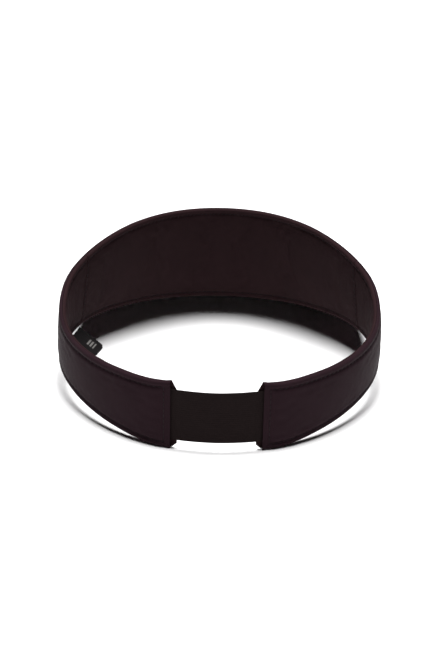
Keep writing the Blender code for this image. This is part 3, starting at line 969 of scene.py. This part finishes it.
# %% A folded tape
LABEL_WIDTH, LABEL_LENGTH, LABEL_PLY = 13.5 * MM, 16.6 * MM, 0.32 * MM
LABEL_DROOP = radians(36.0)
LABEL_CORNER = 2.2 * MM
LABEL_RISE = 1.2 * MM
LABEL_TURN = 98.5
LAYER_GAP = 0.3 * MM
LABEL_HALF_FOLD = 0.36 * MM


def label_frame():
    """The middle of the label's root and its three directions: along its width, out, and over."""
    half = LABEL_WIDTH / 2 / (curve_through(REACH, LABEL_TURN) * MM)
    turn = LABEL_TURN + np.degrees(np.array([-half, half]))
    depth = BAND_THICKNESS + LAYER_GAP + 0.45 * MM
    corners = band(turn, np.full(2, LABEL_RISE), np.full(2, depth))
    ahead = corners[1] - corners[0]
    ahead = unit(ahead * [1, 1, 0])
    inwards = np.cross(ahead, UP)
    out = inwards * np.cos(LABEL_DROOP) - UP * np.sin(LABEL_DROOP)
    over = UP * np.cos(LABEL_DROOP) + inwards * np.sin(LABEL_DROOP)
    return corners.mean(axis=0), ahead, out, over


def make_label():
    root, ahead, out, over = label_frame()
    fold = LABEL_HALF_FOLD
    run = np.linspace(0, LABEL_LENGTH, 22)
    bend = np.linspace(0, pi, 9)[1:-1]
    x = np.concatenate([run, LABEL_LENGTH + fold * np.sin(bend), run[::-1]])
    y = np.concatenate([0 * run + fold, fold * np.cos(bend), 0 * run - fold])
    walk = np.concatenate([[0], np.cumsum(np.hypot(np.diff(x), np.diff(y)))])
    across = np.linspace(-0.5, 0.5, 28)
    px, a = np.meshgrid(x, across, indexing="ij")
    py = np.meshgrid(y, across, indexing="ij")[0]
    share = px / LABEL_LENGTH
    open_up = 0.25 * MM * np.sin(pi * np.clip(share, 0, 1)) * np.sign(py)
    curl = 0.9 * MM * share**2 * (1 + 0.5 * a) - 0.5 * MM * share * (2 * a) ** 2
    beyond = np.clip(px - LABEL_LENGTH + LABEL_CORNER, 0, LABEL_CORNER)
    rounded = LABEL_CORNER - np.sqrt(LABEL_CORNER**2 - beyond**2)
    points = root + ahead * (a * (LABEL_WIDTH - 2 * rounded))[..., None] + out * px[..., None]
    points = points + over * (py + open_up + curl)[..., None]
    uv = np.stack([np.repeat(walk[:, None], len(across), 1), a * LABEL_WIDTH], -1)
    towards = over * np.sign(py + 1e-9)[..., None] + out * 1e-3
    edge = np.stack([LABEL_WIDTH / 2 - np.abs(a) * LABEL_WIDTH, 0 * a], -1)
    return closed_cloth("side_label_tape", points, towards, LABEL_PLY, uv, edge)


label = make_label()
label_low, label_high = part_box("side_label")
print("the working model's label reaches from", round(label_low.z / MM, 2), "to",
      round(label_high.z / MM, 2), "mm above the table")

# %% [markdown]
# ## Writing a finish as sums
# A finish is a graph of nodes, but most of it is plain arithmetic: this much noise, times that much, plus
# a little where the cloth is worn. The small class below wraps one output of a node, so that such a sum
# can be written as a Python expression, and each plus or times becomes a Math node.

# %% A wire that can be added and multiplied
class Wire:
    """One output of a shader node, used in sums like a number."""

    def __init__(self, tree, socket=None):
        self.tree, self.socket = tree, socket

    def node(self, kind, settings=None, inputs=None, output=0):
        """A new node of any type: its settings first, then the values or wires of its inputs."""
        made = self.tree.nodes.new(kind)
        for name, value in (settings or {}).items():
            setattr(made, name, value)
        for name, value in (inputs or {}).items():
            if isinstance(value, Wire):
                self.tree.links.new(value.socket, made.inputs[name])
            else:
                made.inputs[name].default_value = value
        return Wire(self.tree, made.outputs[output])

    def maths(self, operation, first, second=0.0):
        return self.node("ShaderNodeMath", {"operation": operation}, {0: first, 1: second})

    def __add__(self, other):
        return self.maths("ADD", self, other)

    def __sub__(self, other):
        return self.maths("SUBTRACT", self, other)

    def __rsub__(self, other):
        return self.maths("SUBTRACT", other, self)

    def __mul__(self, other):
        return self.maths("MULTIPLY", self, other)

    __radd__ = __add__
    __rmul__ = __mul__

    def size(self):
        """The value without its sign."""
        return self.maths("ABSOLUTE", self)

    def wave(self, pitch, shift=0.0):
        """From 0 to 1 and back once for each pitch, in metres."""
        return self.maths("SINE", self * (2 * pi / pitch) + shift) * 0.5 + 0.5

    def fade(self, start, end):
        """1 up to start, falling smoothly to 0 at end."""
        inputs = {"Value": self, "From Min": start, "From Max": end, "To Min": 1.0, "To Max": 0.0}
        return self.node("ShaderNodeMapRange", {"interpolation_type": "SMOOTHSTEP"}, inputs)

    def mix(self, low, high):
        """The colour low where this is 0 and high where it is 1."""
        inputs = {0: self, 6: (*low, 1) if isinstance(low, tuple) else low,
                  7: (*high, 1) if isinstance(high, tuple) else high}
        return self.node("ShaderNodeMix", {"data_type": "RGBA"}, inputs, output=2)


class Finish:
    """A material with its shader, and the places on the cloth that its pattern is drawn with."""

    def __init__(self, name, roughness, specular=0.5, sheen=0.0, sheen_roughness=0.5, tint=(1, 1, 1)):
        self.slot = name
        self.material = bpy.data.materials.new(name)
        self.material.use_nodes = True
        tree = self.material.node_tree
        self.shader = tree.nodes["Principled BSDF"]
        self.wire = Wire(tree)
        self.set("Roughness", roughness)
        self.set("Specular IOR Level", specular)
        self.set("Sheen Weight", sheen)
        self.set("Sheen Roughness", sheen_roughness)
        self.set("Sheen Tint", (*tint, 1))
        self.set("Specular Tint", (*tint, 1))

    def set(self, socket, value):
        if isinstance(value, Wire):
            self.wire.tree.links.new(value.socket, self.shader.inputs[socket])
        else:
            self.shader.inputs[socket].default_value = value

    def places(self, layer):
        """The two UV coordinates of a layer, in metres, and the coordinates as one vector."""
        uv = self.wire.node("ShaderNodeUVMap", {"uv_map": layer})
        return [self.wire.node("ShaderNodeSeparateXYZ", {}, {0: uv}, output=k) for k in (0, 1)] + [uv]

    def noise(self, place, size, detail=3.0, roughness=0.55):
        inputs = {"Vector": place, "Scale": 1 / size, "Detail": detail, "Roughness": roughness}
        return self.wire.node("ShaderNodeTexNoise", {"noise_dimensions": "3D"}, inputs)

    def bump(self, height, distance, strength=0.6):
        inputs = {"Height": height, "Distance": distance, "Strength": strength}
        self.set("Normal", self.wire.node("ShaderNodeBump", {}, inputs))

    def put_on(self, *pieces):
        for piece in pieces:
            piece.data.materials.clear()
            piece.data.materials.append(self.material)


def shade(colour, times):
    return tuple(channel * times for channel in colour)


# %% [markdown]
# ## Satin-faced cloth
# The shell, lining and brim are a smooth polyester whose long threads lie on the face. It is nearly matt,
# with a faint sheen and a brown-violet cast. The pattern is worked out in true size: threads a
# quarter of a millimetre apart that float over four and dip under one. Wide patches of slightly different
# tone come from the dye and from handling, and the rolled edges are rubbed a little lighter and rougher.

# %% Shell, lining and brim cloth
def satin(name, colour, roughness, specular, sheen, tint, pitch=0.25 * MM):
    finish = Finish(name, roughness, specular, sheen, 0.45, tint)
    along, up, place = finish.places("cloth")
    edge, _, _ = finish.places("edge")
    thread = up.wave(pitch)
    dip = (along + up * 2.0).wave(pitch * 5)
    patches = finish.noise(place, 16 * MM)
    fibres = finish.noise(place, 0.7 * MM, 2.0)
    worn = edge.fade(0.3 * MM, 1.6 * MM) * (fibres * 0.8 + 0.3)
    tone = patches * 0.55 + fibres * 0.25 + thread * 0.12 + worn * 0.30 - 0.05
    finish.set("Base Color", tone.mix(shade(colour, 0.72), shade(colour, 1.42)))
    finish.set("Roughness", fibres * 0.10 + worn * 0.12 + patches * 0.06 + (roughness - 0.08))
    finish.bump(thread * 0.5 + dip * 0.3 + fibres * 0.5, 0.06 * MM, 0.55)
    return finish


VIOLET = (1.0, 0.60, 0.72)
band_cloth = satin("band_cloth", (0.0163, 0.0086, 0.0112), 0.62, 0.04, 0.006, VIOLET)
lining_cloth = satin("lining_cloth", (0.0180, 0.0094, 0.0104), 0.64, 0.04, 0.006, VIOLET)
brim_cloth = satin("brim_cloth", (0.0163, 0.0086, 0.0108), 0.62, 0.04, 0.006, VIOLET)

# %% [markdown]
# ## Elastic, thread, label, foam, buckram and board
# The elastic is matt: its binding yarn crosses every cord in small steps. The thread is twisted and a
# little smoother. The label is woven like a ribbon, with three light bars in place of writing. Foam has open
# cells, buckram is a stiff open weave, and the brim's board is moulded plastic with a fine grain.

# %% The other finishes
def woven_elastic():
    finish = Finish("elastic_weave", 0.85, 0.08, 0.02, 0.6, (1.0, 0.72, 0.72))
    along, up, place = finish.places("cloth")
    cord = up.wave(ELASTIC_WIDTH / RIBS)
    yarn = (along + up * 0.3).wave(0.55 * MM)
    fuzz = finish.noise(place, 0.5 * MM, 3.0)
    tone = cord * 0.3 + yarn * 0.35 + fuzz * 0.5 - 0.1
    finish.set("Base Color", tone.mix((0.0046, 0.0030, 0.0030), (0.0118, 0.0082, 0.0082)))
    finish.set("Roughness", fuzz * 0.15 + 0.76)
    finish.bump(yarn * 0.6 + fuzz * 0.6, 0.10 * MM, 0.8)
    return finish


def twisted_thread():
    finish = Finish("thread", 0.6, 0.12, 0.0)
    along, around, place = finish.places("cloth")
    twist = (along + around * 1.6).wave(0.42 * MM)
    finish.set("Base Color", twist.mix((0.0060, 0.0036, 0.0044), (0.0165, 0.0100, 0.0125)))
    finish.set("Roughness", twist * 0.15 + 0.52)
    finish.bump(twist, 0.05 * MM, 0.8)
    return finish


LABEL_BARS = ((9.2, 0.45), (11.0, 0.45), (12.8, 0.30))


def woven_label():
    finish = Finish("label_tape", 0.75, 0.08, 0.0, 0.5)
    along, across, place = finish.places("cloth")
    weave = along.wave(0.32 * MM) * 0.5 + across.wave(0.32 * MM) * 0.5
    bars = 0.0
    for middle, half in LABEL_BARS:
        distance = (along - middle * MM).size()
        bars = distance.fade(half * MM, (half + 0.15) * MM) + bars
    short = across.size().fade(2.8 * MM, 2.95 * MM)
    pale = bars * short
    ground = weave.mix((0.0030, 0.0024, 0.0026), (0.0085, 0.0072, 0.0076))
    finish.set("Base Color", pale.node("ShaderNodeMix", {"data_type": "RGBA"},
                                       {0: pale, 6: ground, 7: (0.13, 0.125, 0.12, 1)}, output=2))
    finish.set("Roughness", weave * 0.12 + 0.62)
    finish.bump(weave + pale * 0.4, 0.06 * MM, 0.7)
    return finish


def open_foam():
    finish = Finish("foam", 0.92, 0.2)
    _, _, place = finish.places("cloth")
    cells = finish.noise(place, 0.8 * MM, 4.0, 0.7)
    finish.set("Base Color", cells.mix((0.035, 0.035, 0.038), (0.12, 0.12, 0.125)))
    finish.bump(cells, 0.3 * MM, 0.9)
    return finish


def buckram():
    finish = Finish("stiffener_web", 0.8, 0.3)
    along, up, place = finish.places("cloth")
    mesh = along.wave(0.9 * MM) * 0.5 + up.wave(0.9 * MM) * 0.5
    dust = finish.noise(place, 3 * MM)
    finish.set("Base Color", (mesh * 0.7 + dust * 0.4).mix((0.50, 0.48, 0.44), (0.82, 0.80, 0.76)))
    finish.set("Roughness", dust * 0.2 + 0.7)
    finish.bump(mesh, 0.12 * MM, 0.8)
    return finish


def moulded_board():
    finish = Finish("board_plastic", 0.45, 0.5)
    place = finish.wire.node("ShaderNodeTexCoord", {}, {}, output="Object")
    grain = finish.noise(place, 0.6 * MM, 2.0)
    clouds = finish.noise(place, 25 * MM)
    finish.set("Base Color", (grain * 0.4 + clouds * 0.6).mix((0.040, 0.040, 0.044), (0.062, 0.062, 0.066)))
    finish.set("Roughness", grain * 0.2 + 0.36)
    finish.bump(grain, 0.05 * MM, 0.5)
    return finish


elastic_weave, thread, label_tape = woven_elastic(), twisted_thread(), woven_label()
foam, stiffener_web, board_plastic = open_foam(), buckram(), moulded_board()

# %% [markdown]
# ## Dress each piece and hide the solid it stands for
# Every visible piece takes a finish, and the solid of the working model that it stands for is hidden. The
# front's pieces and the label ride on an empty named for their body. The arms' pieces and the elastic are
# baked where they stand: nothing bends them at the temple seam or between the halves of the strap.

# %% Ride and replace
ARM_BEND = 8 * MM


def temple_bend(side):
    """Two points on the band: at the temple seam and eight millimetres along the arm from it."""
    places = np.array([TEMPLE, TEMPLE - ARM_BEND])
    points = band(turn_at(places), np.full(2, 20 * MM), np.full(2, 0.0)) * [side, 1, 1]
    return [Vector(point) for point in points]


def carry(piece, panel):
    """A front piece rides on the front's empty; an arm's piece is baked where it stands."""
    if not panel.is_arm:
        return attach(piece, "front")
    start, end = temple_bend(panel.side)
    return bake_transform(piece)


def dress(piece, finish, panel, node):
    finish.put_on(piece)
    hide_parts(node)
    return carry(piece, panel)


for panel in panels:
    dress(layers[panel.name, "shell"], band_cloth, panel, panel.name + "_shell")
    dress(layers[panel.name, "lining"], lining_cloth, panel, panel.name + "_lining")
    dress(fillings[panel.name + "_padding"], foam, panel, panel.name + "_foam")
dress(fillings["front_buckram"], stiffener_web, front, "front_stiffener")
for name, piece in stitches.items():
    owner = {"left_arm_stitches": left_arm, "right_arm_stitches": right_arm}.get(name, front)
    dress(piece, thread, owner, name.replace("stitches", "stitch"))
for side, piece in brim_cloths.items():
    dress(piece, brim_cloth, front, f"brim_{side}_cloth")

elastic_weave.put_on(elastic)
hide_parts("elastic_left_half", "elastic_right_half")
strap_end = Vector(band(np.array(0.0), np.array(19 * MM), np.array(BAND_THICKNESS / 2)))
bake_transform(elastic)

label_tape.put_on(label)
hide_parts("side_label")
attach(label, "label")

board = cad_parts["brim_board"]
board_plastic.put_on(board)

# %% [markdown]
# ## Print what each sheet was cut to
# A sheet of cloth has a size that it was cut to, and a padded piece has a filling. The cut sizes printed
# below are of the finished faces, without seam allowances: the length along the band, the greatest height,
# and the area of the flat pattern. They come from the lines of the pattern, never from the finished meshes.

# %% Print the cut sizes
def pattern_area(along, height):
    """The area of a flat pattern whose height is known at places along it."""
    return float((np.diff(along) * (height[1:] + height[:-1]) / 2).sum())


def outline_area(outline):
    """The area inside a closed outline seen from above."""
    x, y = outline[:, 0], outline[:, 1]
    return float(abs((x * np.roll(y, -1) - y * np.roll(x, -1)).sum()) / 2)


def declare_sheet(piece, width, length, area=None):
    """The area is given where the cut isn't a rectangle."""
    shown = (area or width * length) * 1e4
    print(f"{piece.name}: cut {width / MM:.1f} x {length / MM:.1f} mm, {shown:.1f} square centimetres")


for panel in panels:
    for layer in ("shell", "lining"):
        start = panel.first - panel.overhang(layer)
        along = np.linspace(start, panel.last, 200)
        height = sum(edges_of(panel, layer, along, 0 * along)) + 2 * EDGE_ROLL * (pi / 2 - 1)
        declare_sheet(layers[panel.name, layer], float(height.max()), float(panel.last - start),
                      pattern_area(along, height))
along = np.linspace(front.first, front.last, 200)
height = band_height(turn_at(along)) - 2 * FOAM_INSET
declare_sheet(fillings["front_buckram"], float(height.max()), float(front.last - front.first),
              pattern_area(along, height))
turn = np.linspace(TEMPLE_TURN, 360 - TEMPLE_TURN, 300)
outline = np.concatenate([brim_root(turn, BRIM_ROOT), brim_edge(turn)[::-1]])
width, length = np.ptp(outline[:, 0]), np.ptp(outline[:, 1])
for side, piece in brim_cloths.items():
    declare_sheet(piece, float(width), float(length), outline_area(outline))
declare_sheet(elastic, ELASTIC_WIDTH, SHELL_GAP + 2 * SHOWN_TAIL)
declare_sheet(label, LABEL_WIDTH, 2 * LABEL_LENGTH + 1.2 * MM)

# %% [markdown]
# ## Floor, light and camera
# The visor stands on a white table in soft light. One wide light hangs nearly straight above and leaves a
# dark soft shadow under the front. A second, weak one behind the camera lifts the arms a little. The light
# is strong enough to wash the floor out to plain white. The background is white to the camera alone.

# %% A white floor
def make_floor():
    half = 4.0
    corners = [(-half, -half, 0), (half, -half, 0), (half, half, 0), (-half, half, 0)]
    floor = make_mesh("floor", np.array(corners), [(0, 1, 2, 3)])
    floor.location.z = -0.1 * MM
    finish = Finish("floor_white", 0.9, 0.0)
    finish.set("Base Color", (0.93, 0.925, 0.928, 1))
    finish.put_on(floor)
    floor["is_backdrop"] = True


make_floor()

# %% Soft studio light
def soft_light(name, place, size, power):
    lamp = bpy.data.lights.new(name, "AREA")
    lamp.shape = "DISK"
    lamp.size = size
    lamp.energy = power
    light = bpy.data.objects.new(name, lamp)
    light.location = place
    light.rotation_euler = (Vector((0, 0.02, 0.02)) - light.location).to_track_quat("-Z", "Y").to_euler()
    bpy.context.scene.collection.objects.link(light)


soft_light("overhead", Vector((0.0, -0.04, 2.4)), 1.3, 122.0)
soft_light("behind_camera", Vector((-0.5, 3.0, 0.9)), 1.6, 2.0)

world = bpy.data.worlds.new("studio")
world.use_nodes = True
bpy.context.scene.world = world
wire = Wire(world.node_tree)
shown = wire.node("ShaderNodeLightPath", {}, {}, output="Is Camera Ray")
background = world.node_tree.nodes["Background"]
background.inputs["Color"].default_value = (1, 1, 1, 1)
strength = shown * 0.998 + 0.002
world.node_tree.links.new(strength.socket, background.inputs["Strength"])
bpy.context.scene.view_settings.view_transform = "Standard"

# %% The camera
CAMERA_PLACE = Vector((-0.0050, 0.9364, 0.4363))
CAMERA_TARGET = Vector((0, 0.02715, 0.020))
camera_data = bpy.data.cameras.new("camera")
camera_data.sensor_width = 36.0
camera_data.lens = 100.7
camera_data.shift_x = 0.0019
camera_data.shift_y = 0.0117
camera = bpy.data.objects.new("camera", camera_data)
camera.location = CAMERA_PLACE
camera.rotation_mode = "QUATERNION"
look = (CAMERA_TARGET - CAMERA_PLACE).to_track_quat("-Z", "Y")
camera.rotation_quaternion = look @ Quaternion((0, 0, 1), radians(1.1))
bpy.context.scene.collection.objects.link(camera)
bpy.context.scene.camera = camera

# %% [markdown]
# ## Print both sizes and finish
# The dressed visor has to be as large as the working model. Cloth may stand a little proud of it. Both boxes
# are printed below, one after the other.

# %% Write both sizes and finish
own_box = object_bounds()
for name, box in (("working model", cad_box), ("dressed visor", own_box)):
    print(name, [[round(value / MM, 2) for value in corner] for corner in box])
